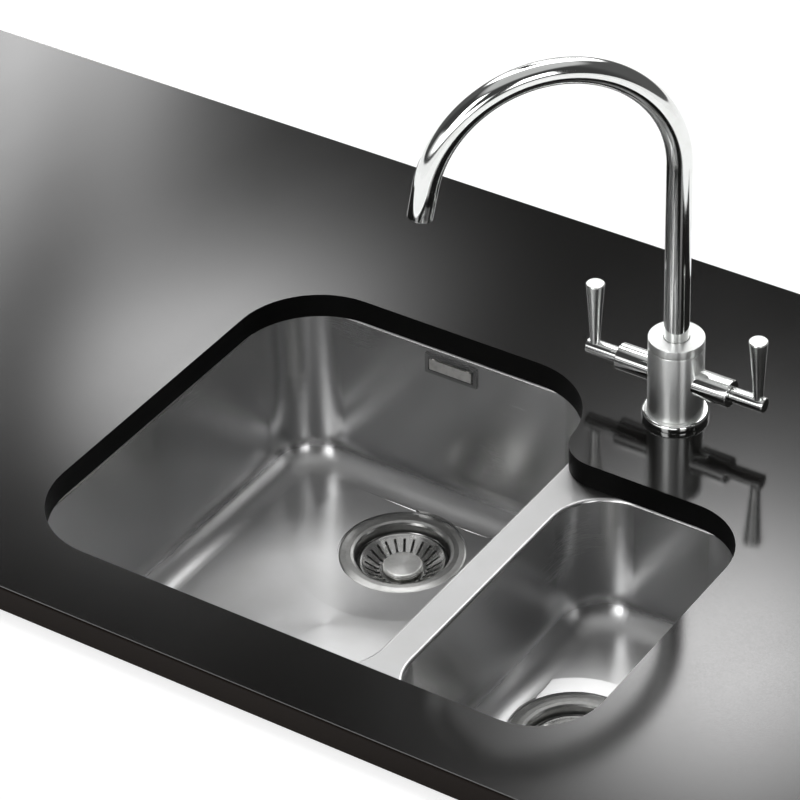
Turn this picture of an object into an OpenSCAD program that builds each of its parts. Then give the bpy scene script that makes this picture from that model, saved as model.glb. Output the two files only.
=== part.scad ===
// Kitchen sink with a bowl and a half, fixed under a stone worktop, with a two handle mixer tap.
// X runs to the right, Y to the back and Z up. All lengths are in millimetres.
// The origin lies on the worktop's underside, halfway from front to back, over the cabinet's left side.

/* [Worktop] */
// width of the worktop, left to right
worktop_w = 1250; // [1220:10:1600]
// how far the worktop reaches to the left of the origin
worktop_left = 390; // [380:10:390]
// depth of the worktop, front to back
worktop_d = 698; // [690:2:760]
// thickness of the stone
worktop_t = 25; // [20:1:40]
// rounding of the front edge, above and below
worktop_edge_r = 2; // [1:0.5:4]

/* [Bowls] */
// width of the large bowl at its rim
main_w = 344; // [330:1:360]
// depth of the large bowl at its rim, front to back
main_d = 423.5; // [410:0.5:430]
// corner radius of the large bowl in plan
main_corner_r = 54; // [50:1:62]
// corner radius of the stone's cut-out over the large bowl
main_cut_r = 78; // [70:1:84]
// height of the large bowl from its floor to the underside of the worktop
main_h = 160; // [140:1:200]
// width of the small bowl at its rim
half_w = 175.5; // [175.5:0.5:185]
// depth of the small bowl at its rim
half_d = 320; // [290:1:330]
// corner radius of the small bowl in plan
half_corner_r = 52; // [50:1:58]
// corner radius of the stone's cut-out over the small bowl
half_cut_r = 60; // [54:1:66]
// how far the stone reaches in over the bowls' rims
overhang = 3; // [1:0.5:4]
// height of the small bowl from its floor to the underside of the worktop
half_h = 121; // [105:1:150]
// width of the bridge between the two bowls
bridge_w = 24; // [20:0.5:32]
// thickness of the steel sheet
sheet_t = 1; // [0.8:0.1:1.2]
// rounding between a bowl's wall and its floor
floor_r = 28; // [22:1:28]
// lean of the bowls' walls from upright, in degrees
wall_lean = 1.5; // [0.5:0.5:2.5]
// rounded lip where a bowl turns down from its flange
lip_r = 3; // [2:0.5:4]
// how far the flange reaches out under the stone
flange_w = 20; // [16:1:22]

/* [Wastes] */
// outside radius of a waste's flange
waste_flange_r = 57; // [56:0.5:58]
// radius of a waste's mouth
waste_mouth_r = 42.7; // [42:0.1:43.4]
// distance of the large bowl's waste behind the bowl's middle
main_waste_back = 121.5; // [95:0.5:122]
// slots in a strainer basket
slot_count = 24; // [16:2:28]
// outside radius of a waste's threaded tail, one and a half inch pipe thread
tail_r = 23.9; // [23.5:0.1:24.2]

/* [Overflow] */
// width of the overflow's cover
overflow_w = 54; // [48:1:60]
// height of the overflow's cover
overflow_h = 20; // [18:1:22]
// how far the middle of the cover sits below the worktop's underside
overflow_drop = 16; // [14:0.5:20]

/* [Tap] */
// radius of the tap's body
body_r = 24.2; // [23.5:0.1:25]
// height of the tap's body above the worktop
body_h = 81; // [78:1:90]
// height of the two handles' axis above the worktop
handle_axis_h = 41; // [39:0.5:43]
// distance from the tap's axis to the end of a handle
handle_reach = 86; // [85:0.5:94]
// length of a lever above the handles' axis
lever_h = 66; // [55:1:75]
// lean of the left lever towards the front when closed, in degrees
left_lean = 0; // [0:1:10]
// lean of the right lever towards the front when closed, in degrees
right_lean = 3; // [0:1:10]

/* [Spout] */
// outside radius of the spout's tube
spout_r = 11; // [10:0.1:11.2]
// wall of the spout's tube
spout_wall = 1.5; // [1:0.1:2]
// height above the worktop where the spout starts to bend
spout_rise = 252; // [220:1:280]
// radius of the spout's bend
spout_bend_r = 108; // [95:1:115]
// angle of the spout's bend, in degrees
spout_sweep = 169; // [160:1:178]
// straight length after the bend
spout_tail = 28; // [20:1:36]
// direction of the spout seen from above, in degrees from X
spout_turn = -131.5; // [-150:0.5:-110]

/* [Hidden] */
$fn = 64;
// a sliver that lets one cut run past another's face
eps = 0.01;
// a tube's straight ends reach this far over its bend, which is drawn a little thinner
lap = 0.4;
bend_step = 0.15;

// where the bowls sit
main_x = 293;
main_y = -68.25;
front_y = main_y - main_d / 2;
half_x = main_x + main_w / 2 + bridge_w + half_w / 2;
half_y = front_y + half_d / 2;
rim_z = sheet_t;
main_floor = -main_h;
half_floor = -half_h;
seat_drop = 4;
main_seat = main_floor - seat_drop;
half_seat = half_floor - seat_drop;
waste_y = main_y + main_waste_back;
seat_r = waste_flange_r + 1.2;
waste_hole_r = 46;

// the stone's pocket, its cut-out and the joint curve beside the small bowl
joint_r = 31;
// the joint circle bites this far into its neighbours, so that the outlines cross and don't only touch
joint_bite = 0.05;
bead_t = 0.6;
bead_in = 12;
pocket_z = rim_z + bead_t;
pocket_reach = flange_w + 4;
back_y = main_y + main_d / 2;
right_x = main_x + main_w / 2;
main_plan_r = main_cut_r + overhang;
half_plan_r = half_cut_r + overhang;
half_back = half_y + half_d / 2;
arc_x = right_x - main_plan_r;
arc_y = back_y - main_plan_r;
joint_y = half_back + joint_r;
joint_x = arc_x + sqrt(pow(main_plan_r + joint_r, 2) - pow(joint_y - arc_y, 2));

// clips that hold the flange up, each as x, y and turn; the turn points from the bowl outwards
clip_w = 22;
clip_in = 12;
clip_out = 44;
clip_t = 2.5;
clip_step = 23;
clip_screw_at = 35;
clip_spots = [
    [main_x - main_w / 2, main_y + 90, 180],
    [main_x - main_w / 2, main_y - 90, 180],
    [main_x - 60, back_y, 90],
    [main_x + 60, back_y, 90],
    [half_x, half_back, 90],
    [half_x + half_w / 2, half_y + 70, 0],
    [half_x + half_w / 2, half_y - 70, 0],
    [half_x, front_y, 270],
    [main_x + 75, front_y, 270],
    [main_x - 75, front_y, 270]
];
insert_r = 5;
insert_h = 12;
screw_r = 2.9;
screw_head_r = 5.6;
screw_head_h = 3.5;

// the tap's place and its hidden fixings
tap_x = 522;
tap_y = 137;
tap_z = worktop_t;
tap_hole_r = 17.5;
tap_pocket_r = 33;
shank_r = 16;
shank_bore_r = 13.2;
shank_low = -32;
base_ring_r = 29;
base_ring_h = 6.5;
shank_top = base_ring_h + 6;
cap_h = 8.2;
cap_gap = 0.5;
inlet_r = 5;
inlet_x = 7;
inlet_h = 12;
spout_bore_r = 14;
spout_foot_z = 52;
spout_foot_h = 17;
spout_foot_r = 13.4;
seal_ring_r = 1.4;

// handle sizes
collar_r = 12.2;
collar_bore_r = 9.8;
collar_end = 54;
collar_start = 18;
barrel_r = 6.8;
barrel_gap = 0.4;
spindle_r = 3.9;
spindle_end = 67;
lever_x = 79.3;
lever_seat = 5.3;
lever_foot_r = 4.4;
lever_top_r = 8.2;
lever_stub_r = 2.5;
lever_stub = 3.5;

// waste sizes, all heights from the recess the flange rests in
cup_r = 39.2;
cup_t = 1.2;
cup_floor = -30;
throat_z = -9;
gasket_t = 2.5;
housing_r = 52;
housing_cup_r = 46;
housing_wall = 2.5;
housing_low = -48;
tail_low = -82;
tail_bore_r = 20;
basket_r = 38.5;
basket_z = -7;
knob_r = 18;
knob_edge_r = 2;
knob_z = -11.5;
knob_foot_z = -18;
side_inlet_z = -27;
overflow_pipe_r = 9.5;
overflow_pipe_bore = 8;

// the overflow's place on the back wall of the large bowl
overflow_z = -overflow_drop;
overflow_wall_y = back_y - lip_r - (rim_z - lip_r - overflow_z) * tan(wall_lean);
slot_w = overflow_w - 10;
slot_h = overflow_h - 9;
pipe_y = overflow_wall_y + 17.5;
pipe_bend_r = 20;
pipe_low = main_seat + side_inlet_z;

// rectangle with true round corners, centred
module round_plan(w, d, r) {
    square([w - 2 * r, d], center = true);
    square([w, d - 2 * r], center = true);
    for (x = [-1, 1], y = [-1, 1])
        translate([x * (w / 2 - r), y * (d / 2 - r)])
            circle(r = r);
}

// outline of both bowls together, grown outwards by g, with the S curve beside the small bowl
module joined_plan(g) {
    translate([main_x, main_y])
        round_plan(main_w + 2 * g, main_d + 2 * g, main_plan_r + g);
    translate([half_x, half_y])
        round_plan(half_w + 2 * g, half_d + 2 * g, half_plan_r + g);
    difference() {
        polygon([
            [main_x, front_y - g], [half_x, front_y - g], [half_x, half_back + g],
            [joint_x, half_back + g], [joint_x, joint_y], [arc_x, arc_y], [main_x, arc_y]
        ]);
        translate([joint_x, joint_y])
            circle(r = joint_r - g + joint_bite);
    }
}

// half section of a bowl: r from the corner's centre, z up; g grows it by the sheet's thickness
module bowl_section(rim_r, floor_z, g) {
    wall_z = rim_z - lip_r;
    mid_z = floor_z + floor_r;
    mid_r = rim_r - lip_r - (floor_r + sin(wall_lean) * (wall_z - mid_z)) / cos(wall_lean);
    low_r = mid_r + (floor_r + g) * cos(wall_lean);
    low_z = mid_z - (floor_r + g) * sin(wall_lean);
    top_r = rim_r - lip_r + g / cos(wall_lean);
    union() {
        polygon([[0, floor_z - g], [mid_r, floor_z - g], [low_r, low_z], [top_r, wall_z], [0, wall_z]]);
        translate([mid_r, mid_z])
            intersection() {
                circle(r = floor_r + g);
                translate([0, -floor_r - g])
                    square(floor_r + g);
            }
    }
}

// hollow of a bowl at its top, between the rounded lips
module lip_section(rim_r) {
    difference() {
        translate([0, rim_z - lip_r])
            square([rim_r, lip_r]);
        translate([rim_r, rim_z - lip_r])
            circle(r = lip_r);
    }
    translate([0, rim_z - eps])
        square([rim_r, 1]);
}

// a section carried round a rectangle: four quarter turns, four straight sides and the middle
module carry_round(w, d, r, low, high) {
    a = w / 2 - r;
    b = d / 2 - r;
    for (k = [0:3]) {
        x = (k == 0 || k == 3) ? a : -a;
        y = (k < 2) ? b : -b;
        translate([x, y, 0])
            rotate([0, 0, 90 * k])
                rotate_extrude(angle = 90)
                    children();
    }
    for (k = [0:3]) {
        x = (k == 0 || k == 3) ? a : -a;
        y = (k < 2) ? b : -b;
        translate([x, y, 0])
            rotate([90, 0, 90 * k])
                linear_extrude(height = (k % 2 == 0) ? 2 * b : 2 * a)
                    children();
    }
    translate([-a, -b, low])
        cube([2 * a, 2 * b, high - low]);
}

// plan of a bowl's flat floor
module floor_plan(w, d, r) {
    inset = lip_r + floor_r + 4;
    round_plan(w - 2 * inset, d - 2 * inset, r - inset);
}

// one pressed bowl, centred on its own plan; the waste sits wy behind the middle
module bowl(w, d, r, floor_z, wy, dish_r) {
    difference() {
        union() {
            carry_round(w, d, r, floor_z - sheet_t, rim_z - lip_r)
                bowl_section(r, floor_z, sheet_t);
            carry_round(w, d, r, rim_z - lip_r, 0)
                translate([0, rim_z - lip_r])
                    square([r - lip_r + sheet_t / cos(wall_lean), lip_r - rim_z]);
            linear_extrude(height = rim_z)
                round_plan(w, d, r);
            intersection() {
                translate([0, wy, floor_z - sheet_t - 2])
                    cylinder(h = 2 + eps, r1 = seat_r + 1, r2 = dish_r + 1);
                translate([0, 0, floor_z - 10])
                    linear_extrude(height = 10)
                        floor_plan(w, d, r);
            }
            translate([0, wy, floor_z - seat_drop - sheet_t])
                cylinder(h = seat_drop + eps, r = seat_r + sheet_t);
        }
        carry_round(w, d, r, floor_z, rim_z - lip_r)
            bowl_section(r, floor_z, 0);
        carry_round(w, d, r, rim_z - lip_r - eps, rim_z + 1)
            lip_section(r);
        intersection() {
            translate([0, wy, floor_z - 2])
                cylinder(h = 2 + eps, r1 = seat_r, r2 = dish_r);
            translate([0, 0, floor_z - 10])
                linear_extrude(height = 11)
                    floor_plan(w, d, r);
        }
        translate([0, wy, floor_z - seat_drop])
            cylinder(h = seat_drop + 1, r = seat_r);
        translate([0, wy, floor_z - seat_drop - 2])
            cylinder(h = 3, r = waste_hole_r);
    }
}

// the stone, with its cut-out, the shallow pocket under it, the clip pockets and the tap's hole
module worktop() {
    color("black")
        difference() {
            translate([-worktop_left, 0, 0])
                rotate([90, 0, 90])
                    linear_extrude(height = worktop_w)
                        worktop_section();
            translate([0, 0, -1])
                linear_extrude(height = worktop_t + 2)
                    joined_plan(-overhang);
            translate([0, 0, -1])
                linear_extrude(height = pocket_z + 1)
                    joined_plan(pocket_reach);
            at_clips() {
                translate([flange_w - 4, -clip_w / 2 - 3, -1])
                    cube([clip_out - flange_w + 7, clip_w + 6, pocket_z + 1]);
                translate([clip_screw_at, 0, -1])
                    cylinder(h = pocket_z + insert_h + 1, r = insert_r);
            }
            translate([tap_x, tap_y, -1]) {
                cylinder(h = worktop_t + 2, r = tap_hole_r);
                cylinder(h = pocket_z + 1, r = tap_pocket_r);
            }
        }
}

// end view of the stone with its rounded front edge
module worktop_section() {
    e = worktop_edge_r;
    d = worktop_d / 2;
    translate([-d + e, 0])
        square([worktop_d - e, worktop_t]);
    translate([-d, e])
        square([worktop_d, worktop_t - 2 * e]);
    for (z = [e, worktop_t - e])
        translate([-d + e, z])
            circle(r = e);
}

// places its children at each clip, with X pointing away from the bowl
module at_clips() {
    for (c = clip_spots)
        translate([c[0], c[1], 0])
            rotate([0, 0, c[2]])
                children();
}

// soft bead between the flange and the stone
module sealant_bead() {
    color("dimgray")
        translate([0, 0, rim_z])
            linear_extrude(height = bead_t)
                difference() {
                    joined_plan(flange_w - 3);
                    joined_plan(bead_in);
                }
}

// flat flange that carries both bowls, with the bridge between them
module sink_flange() {
    color("silver")
        linear_extrude(height = sheet_t)
            difference() {
                joined_plan(flange_w);
                translate([main_x, main_y])
                    round_plan(main_w, main_d, main_corner_r);
                translate([half_x, half_y])
                    round_plan(half_w, half_d, half_corner_r);
            }
}

module main_bowl() {
    color("silver")
        difference() {
            translate([main_x, main_y, 0])
                bowl(main_w, main_d, main_corner_r, main_floor, main_waste_back, 100);
            at_overflow()
                translate([-slot_w / 2, -6, -slot_h / 2])
                    cube([slot_w, 12, slot_h]);
        }
}

module half_bowl() {
    color("silver")
        translate([half_x, half_y, 0])
            bowl(half_w, half_d, half_corner_r, half_floor, 0, 74);
}

// stepped steel clips under the flange's edge
module fixing_clips() {
    color("gainsboro")
        at_clips()
            difference() {
                union() {
                    translate([clip_in, -clip_w / 2, -clip_t])
                        cube([clip_step + 2 - clip_in, clip_w, clip_t]);
                    translate([clip_step - 2, -clip_w / 2, pocket_z - clip_t])
                        cube([clip_out - clip_step + 2, clip_w, clip_t]);
                }
                translate([clip_screw_at, 0, -5])
                    cylinder(h = 10, r = screw_r + 0.3);
                translate([0, -clip_w / 2 - 1, 0])
                    cube([flange_w + 1, clip_w + 2, 5]);
            }
}

// pan head screws that draw the clips up
module clip_screws() {
    color("gainsboro")
        at_clips()
            translate([clip_screw_at, 0, pocket_z - clip_t]) {
                cylinder(h = clip_t + insert_h - 2, r = screw_r);
                difference() {
                    translate([0, 0, -screw_head_h])
                        cylinder(h = screw_head_h, r1 = screw_head_r - 1, r2 = screw_head_r);
                    translate([0, 0, -screw_head_h - 1])
                        cylinder(h = 3, r = 2.6, $fn = 6);
                }
            }
}

// threaded brass inserts set in the stone
module stone_inserts() {
    color("goldenrod")
        at_clips()
            translate([clip_screw_at, 0, pocket_z])
                difference() {
                    cylinder(h = insert_h, r = insert_r);
                    translate([0, 0, -1])
                        cylinder(h = insert_h, r = screw_r);
                }
}

// places its children at a waste, with zero at the recess its flange rests in
module at_main_waste() {
    translate([main_x, waste_y, main_seat])
        children();
}

module at_half_waste() {
    translate([half_x, half_y, half_seat])
        children();
}

// pressed flange, throat and pierced cup of a basket waste
module waste_flange() {
    m = waste_mouth_r;
    difference() {
        rotate_extrude()
            polygon([
                [0, cup_floor], [cup_r - 2, cup_floor], [cup_r, cup_floor + 2], [cup_r + 0.3, throat_z - 3.5],
                [m - 0.5, throat_z], [m, -0.8], [m + 1.2, 0.9], [m + 3.6, 1.9], [m + 8, 1.8],
                [waste_flange_r - 1.5, 1.2], [waste_flange_r, 0.7], [waste_flange_r, 0], [m + 1.6, 0],
                [m + 1.1, throat_z - 0.4], [cup_r + cup_t + 0.3, throat_z - 4.5], [cup_r + cup_t, cup_floor + 1.5],
                [cup_r - 1.2, cup_floor - cup_t], [0, cup_floor - cup_t]
            ]);
        translate([0, 0, cup_floor - 3])
            cylinder(h = 6, r = 3.2);
        for (k = [0:7])
            rotate([0, 0, 45 * k]) {
                translate([16, 0, cup_floor - 3])
                    cylinder(h = 6, r = 4);
                translate([29, 0, cup_floor - 3])
                    cylinder(h = 6, r = 5.5);
            }
    }
}

// rubber ring between the bowl's underside and the housing
module waste_gasket() {
    translate([0, 0, -sheet_t - gasket_t])
        difference() {
            cylinder(h = gasket_t, r = housing_r);
            translate([0, 0, -1])
                cylinder(h = gasket_t + 2, r = waste_hole_r);
        }
}

// moulded housing: rim, cup, funnel, threaded tail and a boss on three ribs for the clamp screw
module waste_housing(side_inlet) {
    top = -sheet_t - gasket_t;
    c = housing_cup_r;
    difference() {
        union() {
            rotate_extrude()
                polygon([
                    [0, top], [housing_r, top], [housing_r, top - 4], [c + housing_wall, top - 6],
                    [c + housing_wall, -36], [tail_r + 2.5, housing_low], [tail_r + 2.5, housing_low - 5],
                    [tail_r, housing_low - 5], [tail_r, tail_low], [0, tail_low]
                ]);
            if (side_inlet)
                translate([0, 0, side_inlet_z])
                    rotate([-90, 0, 0])
                        cylinder(h = c + housing_wall + 14, r = overflow_pipe_r + 3);
        }
        rotate_extrude()
            polygon([
                [0, top + 1], [c, top + 1], [c, -35], [tail_bore_r, housing_low + 1], [tail_bore_r, tail_low - 1],
                [0, tail_low - 1]
            ]);
        if (side_inlet)
            translate([0, c - 10, side_inlet_z])
                rotate([-90, 0, 0]) {
                    cylinder(h = 40, r = overflow_pipe_bore);
                    translate([0, 0, housing_wall + 14])
                        cylinder(h = 30, r = overflow_pipe_r);
                }
    }
    difference() {
        union() {
            translate([0, 0, -46])
                cylinder(h = 14, r = 6.5);
            intersection() {
                for (k = [0:2])
                    rotate([0, 0, 120 * k + 60])
                        translate([0, -1.25, -45])
                            cube([50, 2.5, 9]);
                rotate_extrude()
                    polygon([[0, -30], [c + 1, -30], [c + 1, -35], [tail_bore_r + 1, housing_low + 1], [0, housing_low + 1]]);
            }
        }
        translate([0, 0, -50])
            cylinder(h = 22, r = 3);
    }
}

// long screw that pulls the cup and the housing together
module clamp_screw() {
    difference() {
        union() {
            translate([0, 0, cup_floor])
                cylinder(h = 2.6, r1 = 7.4, r2 = 5.2);
            translate([0, 0, -45])
                cylinder(h = 45 + cup_floor, r = 3);
        }
        translate([-4.5, -0.7, cup_floor + 1.3])
            cube([9, 1.4, 3]);
    }
}

// dished strainer basket with radial slots, a short skirt and a guide peg
module basket() {
    difference() {
        union() {
            rotate_extrude()
                polygon([
                    [0, knob_foot_z], [19, knob_foot_z], [23, knob_foot_z + 0.4], [35.4, basket_z - 1.6],
                    [36.6, basket_z - 0.6], [37.6, basket_z], [basket_r, basket_z - 0.5],
                    [basket_r, basket_z - 1.4], [37, basket_z - 1.8], [36, basket_z - 4.2], [36, basket_z - 8.5], [34.8, basket_z - 8.5],
                    [34.8, basket_z - 3.6], [23, knob_foot_z - 0.8], [19, knob_foot_z - 1.2], [0, knob_foot_z - 1.2]
                ]);
            translate([0, 0, knob_foot_z - 6])
                cylinder(h = 5.5, r = 7);
        }
        for (k = [0:slot_count - 1])
            rotate([0, 0, 360 / slot_count * k])
                translate([21, -1.15, knob_foot_z - 4])
                    cube([13, 2.3, 19]);
    }
}

// rubber ring under the basket's rim, resting on the throat's cone
module basket_seal() {
    rotate_extrude()
        polygon([
            [36.1, basket_z - 4.6], [39.75, basket_z - 4.6], [40.9, basket_z - 3.1], [40.9, basket_z - 2.3],
            [38.6, basket_z - 1.5],
            [37.1, basket_z - 1.9], [36.1, basket_z - 4.3]
        ]);
}

// low round knob to lift the basket by
module knob() {
    rotate_extrude()
        difference() {
            union() {
                square_from(0, knob_foot_z, knob_r - 3.5, knob_z);
                square_from(0, knob_foot_z + 2, knob_r, knob_z - knob_edge_r);
                square_from(0, knob_z - knob_edge_r - 1, knob_r - knob_edge_r, knob_z);
                translate([knob_r - knob_edge_r, knob_z - knob_edge_r])
                    circle(r = knob_edge_r);
            }
            square_from(knob_r - 1.2, knob_foot_z + 3, knob_r + 1, knob_foot_z + 3.8);
        }
}

// rectangle between two corners
module square_from(x0, y0, x1, y1) {
    translate([x0, y0])
        square([x1 - x0, y1 - y0]);
}

module main_waste_flange() {
    color("silver")
        at_main_waste()
            waste_flange();
}

module main_waste_gasket() {
    color("black")
        at_main_waste()
            waste_gasket();
}

module main_waste_housing() {
    color("white")
        at_main_waste()
            waste_housing(true);
}

module main_clamp_screw() {
    color("silver")
        at_main_waste()
            clamp_screw();
}

module main_basket() {
    color("silver")
        at_main_waste()
            basket();
}

module main_basket_seal() {
    color("black")
        at_main_waste()
            basket_seal();
}

module main_knob() {
    color("silver")
        at_main_waste()
            knob();
}

module half_waste_flange() {
    color("silver")
        at_half_waste()
            waste_flange();
}

module half_waste_gasket() {
    color("black")
        at_half_waste()
            waste_gasket();
}

module half_waste_housing() {
    color("white")
        at_half_waste()
            waste_housing(false);
}

module half_clamp_screw() {
    color("silver")
        at_half_waste()
            clamp_screw();
}

module half_basket() {
    color("silver")
        at_half_waste()
            basket();
}

module half_basket_seal() {
    color("black")
        at_half_waste()
            basket_seal();
}

module half_knob() {
    color("silver")
        at_half_waste()
            knob();
}

// places its children at the overflow: Y points out of the bowl, square to the leaning wall
module at_overflow() {
    translate([main_x, overflow_wall_y, overflow_z])
        rotate([-wall_lean, 0, 0])
            children();
}

// box centred in X and Z that starts at a given Y
module plate(w, h, y0, y1) {
    translate([-w / 2, y0, -h / 2])
        cube([w, y1 - y0, h]);
}

// frame and raised plate, with a narrow gap all round for the water
module overflow_cover() {
    color("silver")
        at_overflow()
            union() {
                difference() {
                    plate(overflow_w, overflow_h, -1.6, 0);
                    plate(overflow_w - 7, overflow_h - 6.5, -3, 1);
                }
                plate(overflow_w - 10.5, overflow_h - 9.5, -2.6, -1.2);
                for (x = [-1, 1])
                    translate([x * (overflow_w / 2 - 9), 0, 0])
                        plate(3, overflow_h - 5, -1.3, -0.4);
            }
}

module overflow_gasket() {
    color("black")
        at_overflow()
            difference() {
                plate(overflow_w + 2, overflow_h + 2, sheet_t, sheet_t + 2);
                plate(slot_w, slot_h, 0, 4);
            }
}

// moulded box behind the wall that turns the water down into the pipe
module overflow_housing() {
    color("white")
        difference() {
            union() {
                at_overflow()
                    plate(overflow_w + 2, overflow_h + 2, sheet_t + 2, 6);
                translate([main_x, 0, overflow_z])
                    plate(slot_w + 6, slot_h + 6, overflow_wall_y + 5, pipe_y + 10);
                translate([main_x, pipe_y, overflow_z - 34])
                    cylinder(h = 30, r = overflow_pipe_r + 3);
            }
            at_overflow()
                plate(slot_w, slot_h, 0, 8);
            translate([main_x, 0, overflow_z])
                plate(slot_w, slot_h, overflow_wall_y + 4, pipe_y + 7);
            translate([main_x, pipe_y, overflow_z - 40])
                cylinder(h = 36, r = overflow_pipe_bore);
            translate([main_x, pipe_y, overflow_z - 40])
                cylinder(h = 18, r = overflow_pipe_r);
        }
}

// stiff pipe from the overflow down behind the bowl and forward to the waste
module overflow_pipe() {
    color("white")
        difference() {
            pipe_run(overflow_pipe_r, 0);
            pipe_run(overflow_pipe_bore, 1);
        }
}

module pipe_run(r, past) {
    top = overflow_z - 23;
    mouth = waste_y + housing_cup_r + housing_wall + 4.5;
    translate([main_x, pipe_y, pipe_low + pipe_bend_r - lap])
        cylinder(h = top + past - pipe_low - pipe_bend_r + lap, r = r);
    translate([main_x, pipe_y - pipe_bend_r, pipe_low + pipe_bend_r])
        rotate([90, 0, 90])
            rotate([0, 0, -90])
                rotate_extrude(angle = 90)
                    translate([pipe_bend_r, 0])
                        circle(r = r - bend_step);
    translate([main_x, mouth - past, pipe_low])
        rotate([-90, 0, 0])
            cylinder(h = pipe_y - pipe_bend_r - mouth + past + lap, r = r);
}

// ribbed union nuts at the pipe's two ends
module overflow_nuts() {
    color("white") {
        translate([main_x, pipe_y, overflow_z - 43])
            union_nut();
        translate([main_x, waste_y + housing_cup_r + housing_wall + 23, pipe_low])
            rotate([90, 0, 0])
                union_nut();
    }
}

module union_nut() {
    difference() {
        union() {
            cylinder(h = 16, r = overflow_pipe_r + 6);
            for (k = [0:5])
                rotate([0, 0, 60 * k])
                    translate([overflow_pipe_r + 5, -2, 0])
                        cube([3, 4, 14]);
        }
        translate([0, 0, 9])
            cylinder(h = 8, r = overflow_pipe_r + 3);
        translate([0, 0, -1])
            cylinder(h = 12, r = overflow_pipe_r);
    }
}

// places its children on the worktop at the tap's axis
module at_tap() {
    translate([tap_x, tap_y, tap_z])
        children();
}

module tap_base_seal() {
    color("black")
        at_tap()
            difference() {
                cylinder(h = 1.2, r = 26);
                translate([0, 0, -1])
                    cylinder(h = 3, r = 21);
            }
}

// round foot of the tap with a rounded upper edge and a groove for its seal
module tap_base_ring() {
    color("silver")
        at_tap()
            rotate_extrude()
                difference() {
                    union() {
                        square_from(shank_r + 0.2, 0, base_ring_r - 2.5, base_ring_h);
                        square_from(shank_r + 0.2, 0, base_ring_r, base_ring_h - 2.5);
                        translate([base_ring_r - 2.5, base_ring_h - 2.5])
                            circle(r = 2.5);
                    }
                    square_from(21, -1, 26, 1.2);
                }
}

// brass body: the spout's bore on top, a bore for each valve, and the two inlets below
module tap_body() {
    color("silver")
        at_tap()
            difference() {
                translate([0, 0, base_ring_h])
                    cylinder(h = body_h - cap_h - cap_gap - base_ring_h, r = body_r);
                translate([0, 0, spout_foot_z - 2])
                    cylinder(h = body_h, r = spout_bore_r);
                translate([0, 0, handle_axis_h])
                    cylinder(h = 20, r = 6);
                translate([0, 0, handle_axis_h])
                    rotate([0, 90, 0]) {
                        translate([0, 0, 9])
                            cylinder(h = 30, r = collar_bore_r - 0.2);
                        translate([0, 0, collar_start])
                            cylinder(h = 30, r = collar_r);
                        translate([0, 0, -39])
                            cylinder(h = 30, r = collar_bore_r - 0.2);
                        translate([0, 0, -collar_start - 30])
                            cylinder(h = 30, r = collar_r);
                        translate([0, 0, -10])
                            cylinder(h = 20, r = 4);
                    }
                cylinder(h = shank_top, r = shank_r);
                for (s = [-1, 1])
                    translate([s * inlet_x, 0, shank_top]) {
                        cylinder(h = inlet_h, r = inlet_r);
                        translate([s * 4, 0, inlet_h - 1])
                            cylinder(h = 10, r = 2.4);
                    }
            }
}

// thin cap over the spout's bearing, parted from the body by a fine groove
module tap_cap() {
    color("silver")
        at_tap()
            rotate_extrude()
                difference() {
                    union() {
                        square_from(spout_r + 0.35, body_h - cap_h, body_r - 0.6, body_h);
                        square_from(spout_r + 0.35, body_h - cap_h, body_r, body_h - 0.6);
                        translate([body_r - 0.6, body_h - 0.6])
                            circle(r = 0.6);
                        square_from(spout_bore_r - 1.2, body_h - cap_h - cap_gap, body_r - 0.5, body_h - cap_h + 1);
                    }
                    square_from(0, body_h - cap_h - 2, spout_bore_r, body_h - cap_h);
                }
}

// threaded tube through the stone
module tap_shank() {
    color("goldenrod")
        difference() {
            translate([tap_x, tap_y, shank_low])
                cylinder(h = tap_z + shank_top - shank_low, r = shank_r);
            translate([tap_x, tap_y, shank_low - 1])
                cylinder(h = tap_z + shank_top - shank_low + 2, r = shank_bore_r);
        }
}

module clamp_gasket() {
    color("black")
        translate([tap_x, tap_y, pocket_z - 3])
            difference() {
                cylinder(h = 3, r = tap_pocket_r - 3);
                translate([0, 0, -1])
                    cylinder(h = 5, r = shank_r + 0.3);
            }
}

// horseshoe plate that slips round the shank from the side
module clamp_plate() {
    color("gainsboro")
        translate([tap_x, tap_y, pocket_z - 5.5])
            difference() {
                cylinder(h = 2.5, r = tap_pocket_r - 3);
                translate([0, 0, -1])
                    cylinder(h = 5, r = shank_r + 0.4);
                translate([0, -shank_r - 0.4, -1])
                    cube([60, 2 * shank_r + 0.8, 5]);
            }
}

module fixing_nut() {
    color("goldenrod")
        translate([tap_x, tap_y, pocket_z - 15.5])
            difference() {
                union() {
                    cylinder(h = 10, r = 25, $fn = 6);
                    translate([0, 0, 8])
                        cylinder(h = 2, r = 25.5);
                }
                translate([0, 0, -1])
                    cylinder(h = 12, r = shank_r);
            }
}

// path of the spout at a given radius: foot, riser, bend and straight end
module spout_run(r, past) {
    translate([0, 0, spout_foot_z - past])
        cylinder(h = spout_rise - spout_foot_z + past + lap, r = r);
    translate([spout_bend_r, 0, spout_rise])
        rotate([90, 0, 0])
            rotate([0, 0, 180 - spout_sweep])
                rotate_extrude(angle = spout_sweep)
                    translate([spout_bend_r, 0])
                        circle(r = r - bend_step);
    translate([spout_bend_r, 0, spout_rise])
        rotate([0, spout_sweep, 0])
            translate([-spout_bend_r, 0, -lap])
                cylinder(h = spout_tail + past + lap, r = r);
}

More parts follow.
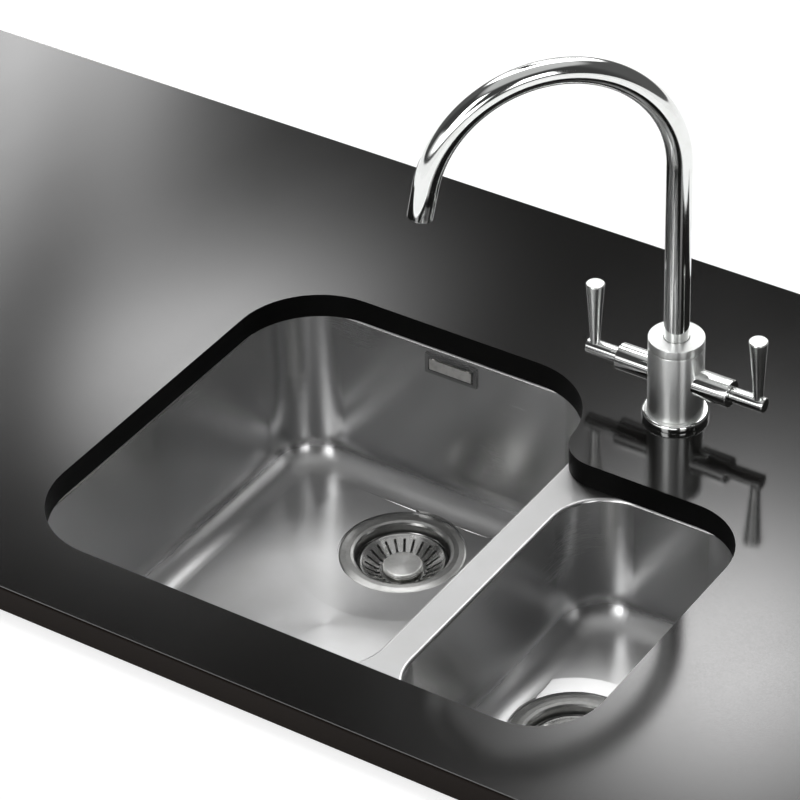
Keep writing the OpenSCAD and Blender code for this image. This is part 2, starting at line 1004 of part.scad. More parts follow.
// chromed swan neck tube with a foot that turns in the body
module spout() {
    color("silver")
        at_tap()
            rotate([0, 0, spout_turn])
                difference() {
                    union() {
                        spout_run(spout_r, 0);
                        translate([0, 0, spout_foot_z])
                            cylinder(h = spout_foot_h, r = spout_foot_r);
                    }
                    spout_run(spout_r - spout_wall, 1);
                    for (z = [4, 11])
                        translate([0, 0, spout_foot_z + z])
                            rotate_extrude()
                                square_from(spout_foot_r - 1.6, -seal_ring_r, spout_foot_r + 1, seal_ring_r);
                }
}

// rubber rings round the spout's foot
module spout_seals() {
    color("black")
        at_tap()
            for (z = [4, 11])
                translate([0, 0, spout_foot_z + z])
                    rotate_extrude()
                        square_from(spout_foot_r - 1.6, -seal_ring_r + 0.1, spout_bore_r - 0.05, seal_ring_r - 0.1);
}

// plastic bearing ring above the foot
module spout_bush() {
    color("white")
        at_tap()
            translate([0, 0, spout_foot_z + spout_foot_h + 0.4])
                difference() {
                    cylinder(h = body_h - cap_h - spout_foot_z - spout_foot_h - 0.4, r = spout_bore_r);
                    translate([0, 0, -1])
                        cylinder(h = 10, r = spout_r + 0.35);
                }
}

// insert with a honeycomb of small holes in the spout's end
module flow_straightener() {
    color("dimgray")
        at_tap()
            rotate([0, 0, spout_turn])
                translate([spout_bend_r, 0, spout_rise])
                    rotate([0, spout_sweep, 0])
                        translate([-spout_bend_r, 0, spout_tail - 11])
                            difference() {
                                cylinder(h = 10, r = spout_r - spout_wall);
                                translate([0, 0, -1])
                                    cylinder(h = 12, r = 1.1);
                                for (k = [0:5])
                                    rotate([0, 0, 60 * k]) {
                                        translate([3.1, 0, -1])
                                            cylinder(h = 12, r = 1.1);
                                        translate([6.2, 0, -1])
                                            cylinder(h = 12, r = 1.1);
                                        rotate([0, 0, 30])
                                            translate([5.4, 0, -1])
                                                cylinder(h = 12, r = 1.1);
                                    }
                            }
}

// places its children on a handle's axis: X points outwards, Z up along the lever
module at_handle(side, lean) {
    at_tap()
        translate([0, 0, handle_axis_h])
            rotate([lean, 0, 0])
                mirror([side < 0 ? 1 : 0, 0, 0])
                    children();
}

// turned shape along the handle's axis from pairs of distance and radius
module turned(points) {
    rotate([0, 90, 0])
        rotate_extrude()
            polygon([for (p = points) [p[1], p[0]]]);
}

// sleeve over the cartridge, with a closed outer end
module collar() {
    turned([
        [collar_start, collar_bore_r], [collar_start, collar_r], [collar_end - 0.8, collar_r],
        [collar_end, collar_r - 0.8], [collar_end, spindle_r + 0.4], [collar_end - 4, spindle_r + 0.4],
        [collar_end - 4, collar_bore_r]
    ]);
}

// ceramic valve cartridge with its bonnet
module cartridge() {
    turned([
        [9.5, 3], [9.5, 8.6], [11, 9.6], [30, 9.6], [30, 9], [36, 9], [36, 9.6], [46, 9.6],
        [49, 7.5], [49, spindle_r + 0.4], [13, spindle_r + 0.4], [13, 3]
    ]);
}

// spindle that carries the handle
module spindle() {
    turned([[14, 0], [14, spindle_r], [spindle_end, spindle_r], [spindle_end, 0]]);
}

// plain round grip that turns with the spindle
module barrel() {
    difference() {
        turned([
            [collar_end + barrel_gap, 0], [collar_end + barrel_gap, barrel_r - 0.4],
            [collar_end + barrel_gap + 0.4, barrel_r], [handle_reach - 0.8, barrel_r],
            [handle_reach, barrel_r - 0.8], [handle_reach, 0]
        ]);
        turned([[50, 0], [50, spindle_r], [spindle_end, spindle_r], [spindle_end, 0]]);
        translate([lever_x, 0, lever_seat])
            cylinder(h = 10, r = lever_foot_r + 0.2);
        translate([lever_x, 0, -lever_stub])
            cylinder(h = 12, r = lever_stub_r);
        translate([62, 0, -10])
            cylinder(h = 8, r = 2);
    }
}

// lever that widens towards a flat round end, with a stub screwed into the barrel
module lever() {
    translate([lever_x, 0, 0])
        rotate_extrude()
            polygon([
                [0, -lever_stub], [lever_stub_r, -lever_stub], [lever_stub_r, lever_seat],
                [lever_foot_r, lever_seat], [lever_foot_r + 0.5, lever_h * 0.3], [lever_top_r - 1.2, lever_h * 0.78],
                [lever_top_r - 0.1, lever_h - 1.8], [lever_top_r, lever_h - 0.8], [lever_top_r - 0.8, lever_h],
                [0, lever_h]
            ]);
}

// socket screw that grips the spindle from below
module grub_screw() {
    translate([62, 0, 0])
        difference() {
            translate([0, 0, -6.3])
                cylinder(h = 6.3 - spindle_r, r = 2);
            translate([0, 0, -7])
                cylinder(h = 1.8, r = 1.1, $fn = 6);
        }
}

module left_collar() {
    color("silver")
        at_handle(-1, 0)
            collar();
}

module left_cartridge() {
    color("goldenrod")
        at_handle(-1, 0)
            cartridge();
}

module left_spindle() {
    color("goldenrod")
        at_handle(-1, left_lean)
            spindle();
}

module left_barrel() {
    color("silver")
        at_handle(-1, left_lean)
            barrel();
}

module left_lever() {
    color("silver")
        at_handle(-1, left_lean)
            lever();
}

module left_grub_screw() {
    color("dimgray")
        at_handle(-1, left_lean)
            grub_screw();
}

module right_collar() {
    color("silver")
        at_handle(1, 0)
            collar();
}

module right_cartridge() {
    color("goldenrod")
        at_handle(1, 0)
            cartridge();
}

module right_spindle() {
    color("goldenrod")
        at_handle(1, right_lean)
            spindle();
}

module right_barrel() {
    color("silver")
        at_handle(1, right_lean)
            barrel();
}

module right_lever() {
    color("silver")
        at_handle(1, right_lean)
            lever();
}

module right_grub_screw() {
    color("dimgray")
        at_handle(1, right_lean)
            grub_screw();
}

worktop();
sealant_bead();
sink_flange();
main_bowl();
half_bowl();
fixing_clips();
clip_screws();
stone_inserts();
main_waste_flange();
main_waste_gasket();
main_waste_housing();
main_clamp_screw();
main_basket();
main_basket_seal();
main_knob();
half_waste_flange();
half_waste_gasket();
half_waste_housing();
half_clamp_screw();
half_basket();
half_basket_seal();
half_knob();
overflow_cover();
overflow_gasket();
overflow_housing();
overflow_pipe();
overflow_nuts();
tap_base_seal();
tap_base_ring();
tap_body();
tap_cap();
tap_shank();
clamp_gasket();
clamp_plate();
fixing_nut();
spout();
spout_seals();
spout_bush();
flow_straightener();
left_collar();
left_cartridge();
left_spindle();
left_barrel();
left_lever();
left_grub_screw();
right_collar();
right_cartridge();
right_spindle();
right_barrel();
right_lever();
right_grub_screw();
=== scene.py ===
import math
import bpy
from mathutils import Matrix, Vector


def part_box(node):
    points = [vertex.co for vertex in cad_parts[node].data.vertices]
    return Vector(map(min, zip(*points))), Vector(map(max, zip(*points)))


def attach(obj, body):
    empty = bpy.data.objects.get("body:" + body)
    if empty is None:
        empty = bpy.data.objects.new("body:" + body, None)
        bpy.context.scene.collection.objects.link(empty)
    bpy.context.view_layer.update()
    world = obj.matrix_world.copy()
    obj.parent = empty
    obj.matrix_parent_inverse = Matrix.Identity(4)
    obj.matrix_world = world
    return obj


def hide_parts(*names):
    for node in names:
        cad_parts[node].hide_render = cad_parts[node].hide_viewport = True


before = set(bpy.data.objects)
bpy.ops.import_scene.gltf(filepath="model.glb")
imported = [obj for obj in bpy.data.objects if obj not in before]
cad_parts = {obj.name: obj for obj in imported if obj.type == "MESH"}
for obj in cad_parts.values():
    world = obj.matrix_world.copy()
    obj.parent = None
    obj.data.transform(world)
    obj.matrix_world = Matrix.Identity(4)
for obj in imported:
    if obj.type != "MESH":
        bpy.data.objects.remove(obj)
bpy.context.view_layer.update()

# Worktop
# A slab of engineered stone, almost black, polished to a mirror on top and sawn at its edges.
# It lies on the cabinets and carries both the sink, from below, and the tap.


class Wire:
    """A number inside a material. An expression on it adds its Math nodes."""

    def __init__(self, skin, socket):
        self.skin = skin
        self.socket = socket

    def maths(self, operation, *values):
        return self.skin.node("ShaderNodeMath", {"operation": operation}, dict(enumerate(values)))

    def __add__(self, other):
        return self.maths("ADD", self, other)

    def __radd__(self, other):
        return self.maths("ADD", other, self)

    def __sub__(self, other):
        return self.maths("SUBTRACT", self, other)

    def __rsub__(self, other):
        return self.maths("SUBTRACT", other, self)

    def __mul__(self, other):
        return self.maths("MULTIPLY", self, other)

    def __rmul__(self, other):
        return self.maths("MULTIPLY", other, self)

    def ramp(self, low, high):
        """Eases from 0 to 1 as the number goes from low to high, which may be the smaller."""
        ends = {"Value": self, "From Min": low, "From Max": high}
        return self.skin.node("ShaderNodeMapRange", {"interpolation_type": "SMOOTHSTEP"}, ends)


class Skin:
    """A material and the nodes that make it."""

    def __init__(self, name):
        self.material = bpy.data.materials.new(name)
        self.material.use_nodes = True
        self.tree = self.material.node_tree
        self.shader = self.tree.nodes["Principled BSDF"]

    def node(self, kind, settings, values, out=0):
        made = self.tree.nodes.new(kind)
        for name, value in settings.items():
            setattr(made, name, value)
        for name, value in values.items():
            self.feed(made.inputs[name], value)
        return Wire(self, made.outputs[out])

    def feed(self, socket, value):
        if isinstance(value, Wire):
            self.tree.links.new(value.socket, socket)
        else:
            socket.default_value = value

    def place(self, *stretch):
        """Object coordinates, stretched along each axis."""
        spot = self.node("ShaderNodeTexCoord", {}, {}, "Object")
        return self.vectors("MULTIPLY", spot, stretch or (1, 1, 1))

    def vectors(self, operation, *values, out=0):
        return self.node("ShaderNodeVectorMath", {"operation": operation}, dict(enumerate(values)), out)

    def part(self, vector, axis):
        return self.node("ShaderNodeSeparateXYZ", {}, {0: vector}, axis)

    def noise(self, place, scale, detail=2.0, roughness=0.5):
        return self.node("ShaderNodeTexNoise", {},
                         {"Vector": place, "Scale": scale, "Detail": detail, "Roughness": roughness})

    def blend(self, factor, first, second):
        return self.node("ShaderNodeMix", {"data_type": "RGBA"}, {0: factor, 6: first, 7: second}, 2)

    def bump(self, height, distance, strength=1.0):
        sizes = {"Height": height, "Distance": distance, "Strength": strength}
        return self.node("ShaderNodeBump", {}, sizes)

    def facing(self, axis):
        """How far the surface faces along an axis, either way: 0 to 1."""
        part = self.part(self.node("ShaderNodeNewGeometry", {}, {}, "Normal"), axis)
        return part.maths("ABSOLUTE", part)

    def cover(self, factor, **values):
        """Lays a second finish over the first where the factor is high."""
        second = self.tree.nodes.new("ShaderNodeBsdfPrincipled")
        for name, value in values.items():
            self.feed(second.inputs[name.replace("_", " ")], value)
        both = self.node("ShaderNodeMixShader", {}, {0: factor, 1: Wire(self, self.shader.outputs[0]),
                                                     2: Wire(self, second.outputs[0])})
        self.feed(self.tree.nodes["Material Output"].inputs["Surface"], both)

    def finish(self, **values):
        for name, value in values.items():
            self.feed(self.shader.inputs[name.replace("_", " ")], value)
        return self.material


def dress(material, *nodes):
    for name in nodes:
        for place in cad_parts[name].material_slots:
            place.material = material


def rgb(red, green, blue):
    return (red, green, blue, 1.0)


def stone_skin():
    front_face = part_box("worktop")[0].y
    skin = Skin("polished_stone")
    place = skin.place()
    speck = skin.noise(place, 2600.0, 3.0, 0.7).ramp(0.56, 0.74)
    cloud = skin.noise(place, 14.0, 4.0)
    wiped = skin.noise(skin.place(3.0, 1.6, 3.0), 5.0, 2.0).ramp(0.3, 0.8)
    grain = skin.noise(place, 620.0, 2.0)
    deep = skin.blend(cloud, rgb(0.0028, 0.0026, 0.0023), rgb(0.0048, 0.0044, 0.0039))
    colour = skin.blend(speck * 0.5, deep, rgb(0.018, 0.017, 0.015))
    edge = skin.facing("Z").ramp(0.97, 0.6)
    # The sawn edges are one stone painted with light and shade: the front face a lighter brown where it
    # is lit, and the cut-out's walls, the back, the ends and a thin line along the top of the front's
    # round near-black as painted shade.
    front = skin.part(place, "Y").ramp(front_face + 0.002, front_face + 0.001)
    sawn_edge_light_and_shade = skin.blend(front, rgb(0.0022, 0.0022, 0.0021), rgb(0.0070, 0.0044, 0.0030))
    skin.cover(edge, Base_Color=sawn_edge_light_and_shade, Roughness=0.42 - 0.1 * speck, IOR=1.16,
               Normal=skin.bump(speck, 0.0001, 0.3))
    return skin.finish(Base_Color=colour, Roughness=0.09 + 0.006 * wiped + 0.03 * grain,
                       IOR=1.62, Normal=skin.bump(grain, 0.00002, 0.15))


dress(stone_skin(), "worktop")

# Sealant
# A bead of dark silicone between the flange and the stone, pressed flat when the sink is drawn
# up, so that no water gets past the cut-out's edge.


def rubber_skin(name, tone, roughness):
    skin = Skin(name)
    grain = skin.noise(skin.place(), 1400.0, 3.0)
    dust = skin.noise(skin.place(), 60.0, 3.0).ramp(0.45, 0.75)
    clean, dusty = rgb(tone, tone, tone * 0.97), rgb(tone * 2.4, tone * 2.3, tone * 2.1)
    colour = skin.blend(dust * 0.4, clean, dusty)
    return skin.finish(Base_Color=colour, Roughness=roughness + 0.15 * grain,
                       Normal=skin.bump(grain, 0.0002, 0.4))


dress(rubber_skin("sealant", 0.05, 0.45), "sealant_bead")

# Flange and bowls
# Pressed from one millimetre stainless steel, welded to the flange and brushed to a satin.
# The brushing runs round the walls, where it is fine, and along the floors, where it is coarser.


def steel_skin(name, tone, wall, floor, streak, stretch):
    skin = Skin(name)
    upward = skin.facing("Z").ramp(0.35, 0.8)
    round_wall = skin.noise(skin.place(0.02, 0.02, 1.0), 3000.0, 3.0, 0.6)
    over_floor = skin.noise(skin.place(1.0, 0.04, 1.0), 2600.0, 3.0, 0.6)
    grain = round_wall * (1 - upward) + over_floor * upward
    broad = skin.noise(skin.place(1.0, 1.0, 0.2), 30.0, 3.0)
    water = skin.noise(skin.place(), 11.0, 2.0, 0.4).ramp(0.4, 0.8)
    light, dark = tone * 1.05, tone * 0.92
    shade = skin.blend(broad, rgb(dark, dark, dark * 0.99), rgb(light, light, light * 1.01))
    colour = skin.blend(water * 0.1, shade, rgb(tone * 0.85, tone * 0.85, tone * 0.84))
    rough = wall + (floor - wall) * upward + 0.06 * grain + 0.02 * water - 0.03
    return skin.finish(Base_Color=colour, Metallic=1.0, Roughness=rough, Anisotropic=stretch,
                       Anisotropic_Rotation=0.25, Normal=skin.bump(grain, 0.00006, streak))


dress(steel_skin("satin_steel", 0.57, 0.25, 0.34, 0.3, 0.6), "main_bowl", "half_bowl")
# The flange is the bowls' own steel with a darker tone, painted shade where the stone overhangs its lip.
dress(steel_skin("shaded_satin_flange", 0.42, 0.37, 0.37, 0.3, 0.0), "sink_flange")

# Clips, screws and inserts
# Ten stepped clips of pressed steel hold the flange up. Pan head screws draw them tight into
# brass inserts that are set in the underside of the stone.

bare_steel = steel_skin("tumbled_steel", 0.5, 0.38, 0.38, 0.25, 0.0)
dress(bare_steel, "fixing_clips", "clip_screws")


def brass_skin():
    skin = Skin("turned_brass")
    rings = skin.noise(skin.place(0.15, 0.15, 1.0), 3200.0, 3.0)
    patina = skin.noise(skin.place(), 120.0, 4.0).ramp(0.4, 0.75)
    colour = skin.blend(patina, rgb(0.68, 0.50, 0.22), rgb(0.46, 0.32, 0.14))
    return skin.finish(Base_Color=colour, Metallic=1.0, Roughness=0.24 + 0.16 * patina,
                       Normal=skin.bump(rings, 0.00006, 0.4))


brass = brass_skin()
dress(brass, "stone_inserts")

# Wastes
# Flange, basket and knob are stainless steel, spun and polished in rings; the gaskets and the
# basket's seal are rubber, and the housing below is white plastic round a long steel clamp screw.


def spun_skin(name, node, tone, roughness):
    low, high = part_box(node)
    skin = Skin(name)
    place = skin.place()
    offset = skin.vectors("SUBTRACT", place, (low + high) / 2)
    radius = skin.vectors("LENGTH", skin.vectors("MULTIPLY", offset, (1, 1, 0)), out="Value")
    along = skin.node("ShaderNodeCombineXYZ", {}, {0: radius, 2: skin.part(place, "Z")})
    rings = skin.noise(along, 2400.0, 3.0)
    worn = skin.noise(place, 140.0, 4.0).ramp(0.4, 0.75)
    colour = skin.blend(worn, rgb(tone, tone, tone * 0.98), rgb(tone * 0.84, tone * 0.84, tone * 0.81))
    return skin.finish(Base_Color=colour, Metallic=1.0, Roughness=roughness + 0.06 * worn + 0.06 * rings,
                       Anisotropic=0.5, Anisotropic_Rotation=0.25, Normal=skin.bump(rings, 0.00005, 0.4))


def plastic_skin(name, colour, roughness):
    skin = Skin(name)
    red, green, blue = colour
    grain = skin.noise(skin.place(), 2200.0, 2.0)
    scuff = skin.noise(skin.place(), 90.0, 4.0).ramp(0.45, 0.8)
    shade = skin.blend(scuff, rgb(red, green, blue), rgb(red * 0.86, green * 0.85, blue * 0.82))
    return skin.finish(Base_Color=shade, Roughness=roughness + 0.12 * scuff,
                       Normal=skin.bump(grain, 0.00012, 0.35))


black_rubber = rubber_skin("black_rubber", 0.018, 0.5)
white_plastic = plastic_skin("white_plastic", (0.78, 0.78, 0.75), 0.36)
for bowl in ("main", "half"):
    rim, knob = bowl + "_waste_flange", bowl + "_knob"
    # Rim, basket and knob are one steel: the rim's darker tone is painted shade and the knob's lighter
    # tone a painted highlight.
    dress(spun_skin(bowl + "_shaded_spun_rim", rim, 0.42, 0.27), rim)
    dress(spun_skin(bowl + "_spun_basket", rim, 0.62, 0.20), bowl + "_basket")
    dress(spun_skin(bowl + "_lit_spun_knob", knob, 0.88, 0.33), knob)
    dress(black_rubber, bowl + "_waste_gasket", bowl + "_basket_seal")
    dress(white_plastic, bowl + "_waste_housing")
    dress(bare_steel, bowl + "_clamp_screw")

# Overflow
# A steel cover on the large bowl's back wall, its frame polished and painted darker as shade, its plate
# brushed, a rubber gasket, and a moulded box, pipe and nuts that lead the water down to the large bowl's
# waste.


def cover_skin():
    low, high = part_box("overflow_cover")
    middle, half = (low + high) / 2, (high - low) / 2
    side_frame, top_frame, edge = 0.0042, 0.0040, 0.0006
    skin = Skin("overflow_steel")
    place = skin.place()
    brushed = skin.noise(skin.place(0.02, 1.0, 1.0), 2600.0, 3.0)
    worn = skin.noise(place, 160.0, 4.0).ramp(0.4, 0.75)
    across, up = skin.part(place, "X") - middle.x, skin.part(place, "Z") - middle.z
    wide, tall = half.x - side_frame, half.z - top_frame
    plate = across.maths("ABSOLUTE", across).ramp(wide, wide - edge)
    plate = plate * up.maths("ABSOLUTE", up).ramp(tall, tall - edge)
    # The frame's darker colour is painted shade; its lower roughness is its polish.
    colour = skin.blend(plate, rgb(0.34, 0.34, 0.34), rgb(0.70, 0.69, 0.67))
    colour = skin.blend(worn * 0.3, colour, rgb(0.30, 0.30, 0.29))
    return skin.finish(Base_Color=colour, Metallic=1.0, Roughness=0.14 + 0.24 * plate + 0.08 * brushed,
                       Normal=skin.bump(brushed, 0.00005, 0.4))


dress(cover_skin(), "overflow_cover")
dress(black_rubber, "overflow_gasket")
dress(white_plastic, "overflow_housing", "overflow_pipe", "overflow_nuts")

# Tap's fixings
# A brass shank goes down through the stone, and a nut draws it tight from below on a steel
# plate and a rubber washer. A thin rubber seal lies under the tap's foot.

dress(brass, "tap_shank", "fixing_nut")
dress(black_rubber, "clamp_gasket", "tap_base_seal")
dress(bare_steel, "clamp_plate")

# Tap's body
# Turned brass, chromed: base ring, body and the thin cap over the spout's bearing. The body is
# linished upright, so lights stretch along it, and every edge has a small round.

tap = Vector((0.522, 0.137, 0.025))
base_bore, base_radius, base_height = 16.2, 29, 6.5
body_bore, body_radius, body_top = 16, 24.2, 72.3
bearing_radius, bearing_floor = 14, 50
groove_radius = 23.7
cap_bore, cap_low, cap_top = 11.35, 72.8, 81.0


def chrome_skin(name, polish, stretch):
    skin = Skin(name)
    place = skin.place()
    smear = skin.noise(place, 45.0, 4.0).ramp(0.45, 0.75)
    fine = skin.noise(place, 1800.0, 2.0)
    colour = skin.blend(smear, rgb(0.83, 0.84, 0.83), rgb(0.78, 0.79, 0.77))
    flat, dull = skin.facing("Z").ramp(0.985, 0.998), 0.46
    rough = polish + 0.03 * smear + (dull - polish) * flat
    return skin.finish(Base_Color=colour, Metallic=1.0, Roughness=rough, Anisotropic=stretch,
                       Anisotropic_Rotation=0.25, Normal=skin.bump(fine, 0.00001, 0.2))


def eased(corners, steps=5):
    """Pairs of radius and height in millimetres; a third number rounds that corner."""
    line = []
    for k, corner in enumerate(corners):
        spot = Vector(corner[:2])
        if len(corner) < 3:
            line.append(spot)
            continue
        before = (Vector(corners[k - 1][:2]) - spot).normalized()
        after = (Vector(corners[(k + 1) % len(corners)][:2]) - spot).normalized()
        opening = before.angle(after)
        reach = corner[2] / math.tan(opening / 2)
        middle = spot + (before + after).normalized() * corner[2] / math.sin(opening / 2)
        first, last = spot + before * reach - middle, spot + after * reach - middle
        turn = first.angle(last)
        for step in range(steps + 1):
            share = step / steps
            mixed = first * math.sin((1 - share) * turn) + last * math.sin(share * turn)
            line.append(middle + mixed / math.sin(turn))
    return line


def new_piece(name, points, faces, material, body, *nodes):
    mesh = bpy.data.meshes.new(name)
    mesh.from_pydata([tuple(point) for point in points], [], faces)
    mesh.polygons.foreach_set("use_smooth", [True] * len(mesh.polygons))
    mesh.set_sharp_from_angle(angle=math.radians(32))
    mesh.materials.append(material)
    piece = bpy.data.objects.new(name, mesh)
    bpy.context.scene.collection.objects.link(piece)
    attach(piece, body)
    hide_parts(*nodes)


def turned(line, place, sides=128):
    """Points and faces of a closed turned shape; place takes local millimetres to metres."""
    points, faces, rings = [], [], []
    for radius, height in line:
        if radius < 1e-6:
            rings.append([len(points)] * sides)
            points.append(place @ Vector((0, 0, height)))
            continue
        rings.append([len(points) + k for k in range(sides)])
        for k in range(sides):
            angle = 2 * math.pi * k / sides
            points.append(place @ Vector((radius * math.cos(angle), radius * math.sin(angle), height)))
    closed = rings if line[0][0] < 1e-6 else rings + rings[:1]
    for low, high in zip(closed, closed[1:]):
        for k in range(sides):
            after = (k + 1) % sides
            face = list(dict.fromkeys((low[k], low[after], high[after], high[k])))
            if len(face) > 2:
                faces.append(face)
    return points, faces


millimetres = Matrix.Scale(0.001, 4)
on_tap = Matrix.Translation(tap) @ millimetres
chrome = chrome_skin("chrome", 0.08, 0.0)
linished_chrome = chrome_skin("linished_chrome", 0.34, 0.85)
linished_lever = chrome_skin("linished_lever", 0.22, 0.6)

ring_line = eased([(base_bore, 0), (base_radius, 0, 0.4), (base_radius, base_height, 2.5),
                   (base_bore, base_height)])
new_piece("base_ring", *turned(ring_line, on_tap), chrome, "sink", "tap_base_ring")
body_line = eased([(body_bore, base_height), (body_radius, base_height, 1.2),
                   (body_radius, body_top, 0.4), (bearing_radius, body_top, 0.3),
                   (bearing_radius, bearing_floor), (body_bore, bearing_floor)])
new_piece("mixer_body", *turned(body_line, on_tap), linished_chrome, "sink", "tap_body")
cap_line = eased([(cap_bore, cap_low), (bearing_radius, cap_low), (bearing_radius, body_top),
                  (groove_radius, body_top), (groove_radius, cap_low), (body_radius, cap_low, 0.25),
                  (body_radius, cap_top, 0.6), (cap_bore, cap_top, 0.3)])
new_piece("bearing_cap", *turned(cap_line, on_tap), linished_chrome, "sink", "tap_cap")

# Spout
# A swan neck of chromed tube that turns in the body on rubber rings and a plastic bush.
# The flow straightener is a plastic disc of small holes just inside its mouth.

tube_radius, tube_bore = 11.0, 9.5
bend_radius, bend_degrees, bend_steps = 108.0, 169.0, 100
neck_foot, neck_rise, neck_tail = 52, 251.8, 28.0
neck_turn = Matrix.Rotation(math.radians(-131.5), 4, "Z")


def neck_path():
    """Where the tube's middle runs and which way it heads, from its foot to its mouth."""
    path = [(Vector((0, 0, z)), Vector((0, 0, 1))) for z in (neck_foot, 76, 120, 180, neck_rise)]
    for step in range(1, bend_steps + 1):
        angle = math.radians(bend_degrees * step / bend_steps)
        along, up = bend_radius * (1 - math.cos(angle)), bend_radius * math.sin(angle)
        path.append((Vector((along, 0, neck_rise + up)), Vector((math.sin(angle), 0, math.cos(angle)))))
    spot, heading = path[-1]
    return path + [(spot + heading * neck_tail, heading)]


def neck(sides=96):
    path = neck_path()
    end, heading = path[-1]
    skin = [(spot, way, tube_radius) for spot, way in path[:-1]]
    rolled = ((0.8, tube_radius), (0.23, tube_radius - 0.23), (0, tube_radius - 0.75), (0, tube_bore))
    skin += [(end - heading * back, heading, radius) for back, radius in rolled]
    skin += [(spot, way, tube_bore) for spot, way in reversed(path[:-1])]
    points, faces = [], []
    for spot, way, radius in skin:
        aside = Vector((way.z, 0, -way.x))
        for k in range(sides):
            angle = 2 * math.pi * k / sides
            rim = spot + aside * radius * math.cos(angle) + Vector((0, radius * math.sin(angle), 0))
            points.append(on_tap @ neck_turn @ rim)
    count = len(skin)
    for ring in range(count):
        for k in range(sides):
            after = (k + 1) % sides
            here, beyond = ring * sides, (ring + 1) % count * sides
            faces.append((here + k, here + after, beyond + after, beyond + k))
    return points, faces


new_piece("swan_neck", *neck(), chrome, "spout", "spout")
dress(black_rubber, "spout_seals")
dress(white_plastic, "spout_bush")
dress(plastic_skin("grey_plastic", (0.22, 0.22, 0.23), 0.4), "flow_straightener")

# Handles
# On each side a chromed collar over the valve, a barrel that turns, and a lever screwed into it.
# The levers widen upwards to a flat round end.

valve_height, lever_place = 41, 79.3
collar_bore, collar_radius, collar_start, collar_end = 9.8, 12.2, 18, 54
spindle_hole, collar_floor = 4.3, 50
barrel_radius, barrel_start, barrel_end = 6.8, 54.4, 86
collar_line = eased([(collar_bore, collar_start), (collar_radius, collar_start),
                     (collar_radius, collar_end, 0.8), (spindle_hole, collar_end),
                     (spindle_hole, collar_floor), (collar_bore, collar_floor)])
barrel_line = eased([(0, barrel_start), (barrel_radius, barrel_start, 0.4),
                     (barrel_radius, barrel_end, 0.8), (0, barrel_end)])
lever_line = eased([(0, -3.5), (2.5, -3.5), (2.5, 5.3), (4.4, 5.3, 0.3), (4.9, 19.8), (7.0, 51.5),
                    (8.15, 65.2, 0.7), (7.4, 66, 0.5), (0, 66)])
for side, way, lean in (("left", -1, 0.0), ("right", 1, 3.0)):
    valve = on_tap @ Matrix.Translation((0, 0, valve_height))
    outward = Matrix.Diagonal((way, 1, 1, 1))
    handle = valve @ (Matrix.Rotation(math.radians(lean), 4, "X") @ outward)
    sideways = Matrix.Rotation(math.radians(90), 4, "Y")
    sleeve = turned(collar_line, valve @ outward @ sideways)
    grip = turned(barrel_line, handle @ sideways)
    wing = turned(lever_line, handle @ Matrix.Translation((lever_place, 0, 0)))
    new_piece(side + "_sleeve", *sleeve, chrome, "sink", side + "_collar")
    new_piece(side + "_grip", *grip, chrome, side + "_handle", side + "_barrel")
    new_piece(side + "_wing", *wing, linished_lever, side + "_handle", side + "_lever")
    dress(brass, side + "_cartridge", side + "_spindle")
    dress(black_rubber, side + "_grub_screw")

# Floor
# A plain pale floor far below the worktop, and a narrow pale strip in front of its lower edge,
# where the doors of a cabinet would be. Both are only stage.


def pale_sheet(name, x0, y0, x1, y1, z, own_light):
    mesh = bpy.data.meshes.new(name)
    mesh.from_pydata([(x0, y0, z), (x1, y0, z), (x1, y1, z), (x0, y1, z)], [], [(0, 1, 2, 3)])
    plane = bpy.data.objects.new(name, mesh)
    bpy.context.scene.collection.objects.link(plane)
    skin = Skin(name)
    rays = [skin.node("ShaderNodeLightPath", {}, {}, kind)
            for kind in ("Is Camera Ray", "Is Glossy Ray", "Is Transmission Ray")]
    seen = (rays[0] + rays[1] + rays[2]).ramp(0.0, 1.0)
    pale, white = rgb(0.7, 0.7, 0.7), rgb(1.0, 1.0, 1.0)
    mesh.materials.append(skin.finish(Base_Color=pale, Roughness=0.9, Specular_IOR_Level=0.0,
                                      Emission_Color=white, Emission_Strength=seen * own_light))


pale_sheet("pale_floor", -6.0, -6.0, 6.0, 6.0, -0.9, 0.4)
pale_sheet("pale_strip", -0.39, -0.42, 0.86, -0.335, -0.0015, 0.6)

# Studio
# White all round for the camera. What lights the object is a dark room with a big light above and
# behind, and softboxes placed by the bright and dark parts that stone and bowls mirror.

camera_azimuth = math.radians(34.35)
camera_elevation = math.radians(36.15)
camera_roll = math.radians(1.96)
camera_place = Vector((1.8282, -2.1884, 1.9905))
camera_lens = 174.74


def camera():
    ahead = Vector((-math.sin(camera_azimuth) * math.cos(camera_elevation),
                    math.cos(camera_azimuth) * math.cos(camera_elevation), -math.sin(camera_elevation)))
    right = Vector((math.cos(camera_azimuth), math.sin(camera_azimuth), 0.0))
    down = ahead.cross(right)
    side = right * math.cos(camera_roll) + down * math.sin(camera_roll)
    below = down * math.cos(camera_roll) - right * math.sin(camera_roll)
    view = bpy.data.objects.new("camera", bpy.data.cameras.new("camera"))
    bpy.context.scene.collection.objects.link(view)
    view.data.lens = camera_lens
    turn = Matrix((side, -below, -ahead)).transposed().to_4x4()
    view.matrix_world = Matrix.Translation(camera_place) @ turn
    view.data.clip_end = 50.0
    bpy.context.scene.camera = view


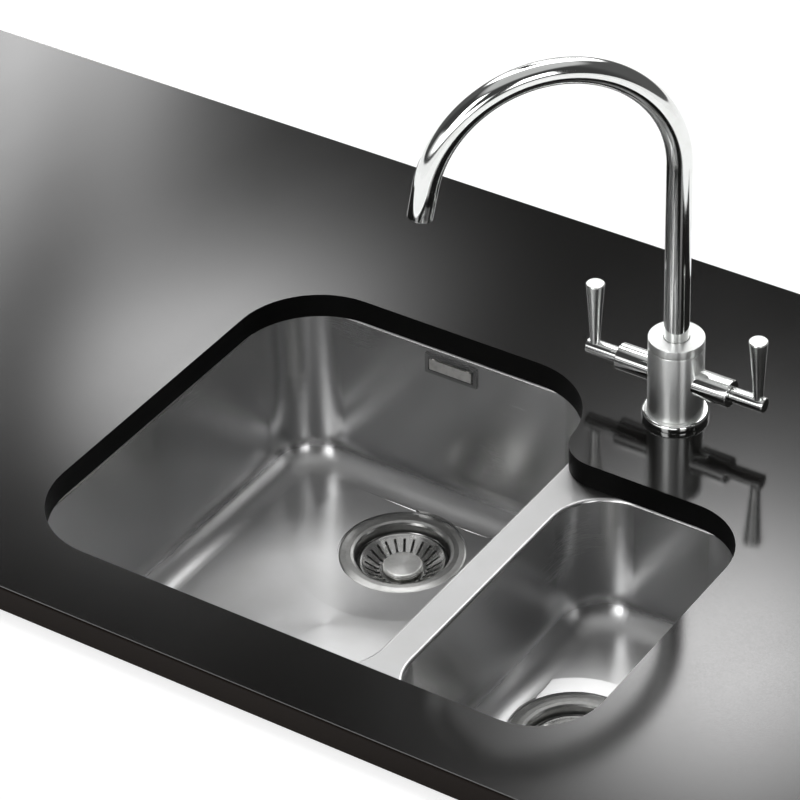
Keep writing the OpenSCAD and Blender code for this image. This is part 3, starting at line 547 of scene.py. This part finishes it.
class Sky(Skin):
    """The world's nodes, read by compass angle and height in degrees."""

    def __init__(self):
        world = bpy.data.worlds.new("studio")
        world.use_nodes = True
        bpy.context.scene.world = world
        self.tree = world.node_tree
        self.shader = self.tree.nodes["Background"]
        ray = self.node("ShaderNodeTexCoord", {}, {}, "Generated")
        x, y, z = [self.part(ray, axis) for axis in "XYZ"]
        degrees = 180 / math.pi
        self.compass = x.maths("ARCTAN2", -1 * x, y) * degrees
        self.from_front = x.maths("ARCTAN2", x, -1 * y) * degrees
        self.height = z.maths("ARCSINE", z) * degrees
        # 1 in the middle of the big light, which is up, back and a little to the left
        self.behind = z * 0.669 + y * 0.614 - x * 0.419

    def window(self, turn, compass, height, half_width, half_height, soft):
        """A soft edged rectangle, centred at a compass angle and a height."""
        across = turn.maths("ABSOLUTE", turn - compass)
        up = self.height.maths("ABSOLUTE", self.height - height)
        return across.ramp(half_width + soft, half_width) * up.ramp(half_height + soft, half_height)

    def glow(self, compass, height, long, short, lean, strength):
        """A soft round or oval light."""
        across, up = self.compass - compass, self.height - height
        along = (across * math.cos(lean) + up * math.sin(lean)) * (1 / long)
        aside = (up * math.cos(lean) - across * math.sin(lean)) * (1 / short)
        fall = along * along + aside * aside
        return fall.maths("EXPONENT", -1 * fall) * strength


def studio():
    sky = Sky()
    # a black flag in the part of the room that the worktop mirrors in the photo's view
    flag = 1 - sky.window(sky.compass, 35.0, 36.0, 14.0, 15.0, 5.0)
    # dim walls, dimmer at the front
    front = sky.from_front.maths("ABSOLUTE", sky.from_front - 10).ramp(100.0, 70.0)
    walls = (0.10 - 0.05 * front) * (0.1 + 0.9 * flag)
    # the big light above and behind, and a weak ceiling
    above = (sky.behind.ramp(0.848, 0.927) * 5.0 + sky.height.ramp(50.0, 62.0) * 0.5) * flag
    # a long low strip light and two softboxes at the front
    strip = sky.from_front.ramp(-60.0, 5.0) * sky.from_front.ramp(38.0, 30.0)
    strip = strip * sky.height.ramp(3.0, 8.0) * sky.height.ramp(24.0, 18.0) * 3.4
    boxes = 5.0 * sky.window(sky.from_front, -5.0, 34.0, 8.0, 12.0, 5.0)
    boxes = boxes + 4.5 * sky.window(sky.from_front, 55.0, 22.0, 6.0, 9.0, 5.0)
    # three glows in the flag's place, less a dark oval: the pale patches on the worktop
    glows = sky.glow(38.0, 35.4, 2.9, 0.85, 0.17, 11.2) + sky.glow(39.3, 28.4, 1.44, 6.3, -0.32, 17.3)
    glows = glows + sky.glow(28.3, 40.0, 3.0, 1.7, -0.03, 12.1)
    glows = glows - sky.glow(38.5, 26.0, 0.98, 13.0, -0.28, 12.1)
    # white below the horizon, as the floor is
    low = sky.height.ramp(0.0, -2.0)
    light = walls + above + strip + boxes + glows.maths("MAXIMUM", glows, 0.0)
    light = light * (1 - low) + low
    camera_ray = sky.node("ShaderNodeLightPath", {}, {}, "Is Camera Ray")
    clear_ray = sky.node("ShaderNodeLightPath", {}, {}, "Is Transmission Ray")
    seen = camera_ray.maths("MAXIMUM", camera_ray, clear_ray)
    sky.feed(sky.shader.inputs["Color"], rgb(1.0, 1.0, 1.0))
    sky.feed(sky.shader.inputs["Strength"], seen + light * (1 - seen))


camera()
studio()
bpy.context.scene.view_settings.view_transform = "Standard"
